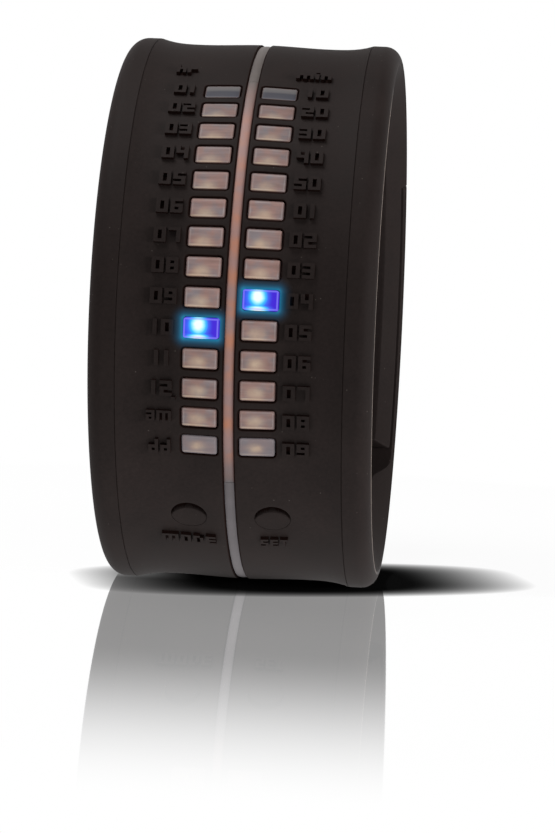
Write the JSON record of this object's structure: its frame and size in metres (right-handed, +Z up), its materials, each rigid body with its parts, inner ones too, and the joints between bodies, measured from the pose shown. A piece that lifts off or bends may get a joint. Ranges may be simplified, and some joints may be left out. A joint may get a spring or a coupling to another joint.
{
  "type": "digital cuff watch",
  "caption": "Wide closed rubber cuff wristwatch with two columns of LED windows for hours and minutes, a light line and push buttons.",
  "frame": {"origin": "middle of the flat on the rims that the watch stands on, under the centre of the ring", "axes": "+Z up as the watch stands on its rims, the dial faces -Y, X runs along the wrist"},
  "size_m": [0.034, 0.0688, 0.0682],
  "materials": {
    "band_rubber": "matte",
    "button_rubber": "matte",
    "line_rubber": "satin",
    "bar_plastic": "gloss",
    "window_plastic": "satin",
    "frame_plastic": "matte",
    "baffle_plastic": "matte",
    "board_film": "satin",
    "led_resin": "gloss",
    "chip_resin": "matte",
    "crystal_can": "satin",
    "capacitor_ceramic": "matte",
    "resistor_film": "matte",
    "spring_steel": "satin",
    "cell_steel": "satin",
    "contact_brass": "satin",
    "case_aluminium": "satin",
    "gasket_rubber": "matte",
    "screw_steel": "satin",
    "insert_brass": "satin",
    "stud_steel": "satin",
    "eyelet_brass": "satin"
  },
  "bodies": {
    "watch": {"front_band": "band_rubber", "band_line": "line_rubber", "light_bar": "bar_plastic", "hour_windows": "window_plastic", "minute_windows": "window_plastic", "module_frame": "frame_plastic", "light_baffle": "baffle_plastic", "circuit_board": "board_film", "hour_leds": "led_resin", "minute_leds": "led_resin", "controller_chip": "chip_resin", "led_driver_chip": "chip_resin", "quartz_crystal": "crystal_can", "capacitors": "capacitor_ceramic", "resistors": "resistor_film", "switch_domes": "spring_steel", "coin_cells": "cell_steel", "cell_leaf_contacts": "contact_brass", "cell_side_contacts": "contact_brass", "back_case": "case_aluminium", "back_gasket": "gasket_rubber", "back_case_screws": "screw_steel", "battery_hatch": "case_aluminium", "hatch_gasket": "gasket_rubber", "hatch_screws": "screw_steel", "screw_inserts": "insert_brass"},
    "mode_key": {"mode_button": "button_rubber"},
    "set_key": {"set_button": "button_rubber"},
    "clasp": {"clasp_strap": "band_rubber", "clasp_line": "line_rubber", "snap_studs": "stud_steel", "stud_washers": "stud_steel"},
    "tongue": {"tongue_strap": "band_rubber", "snap_eyelets": "eyelet_brass"}
  },
  "joints": [
    {"name": "mode_press", "type": "slide", "parent": "watch", "child": "mode_key", "axis": [0, 0.7314, 0.682], "range_m": [0, 0.0003], "stiffness_N_per_m": 1000},
    {"name": "set_press", "type": "slide", "parent": "watch", "child": "set_key", "axis": [0, 0.7314, 0.682], "range_m": [0, 0.0003], "stiffness_N_per_m": 1000},
    {"name": "clasp_open", "type": "hinge", "parent": "watch", "child": "clasp", "pos_m": [0, 0.02122, 0.00671], "axis": [-1, 0, 0], "range_deg": [0, 70], "stiffness_Nm_per_rad": 0.05, "springref_deg": -2.86},
    {"name": "tongue_flex", "type": "hinge", "parent": "watch", "child": "tongue", "pos_m": [0, 0.02737, 0.04966], "axis": [1, 0, 0], "range_deg": [0, 14], "stiffness_Nm_per_rad": 0.05, "springref_deg": -2.86}
  ],
  "couplings": [
    {"joint": "tongue_flex", "follows": "clasp_open", "ratio": 0.2}
  ]
}
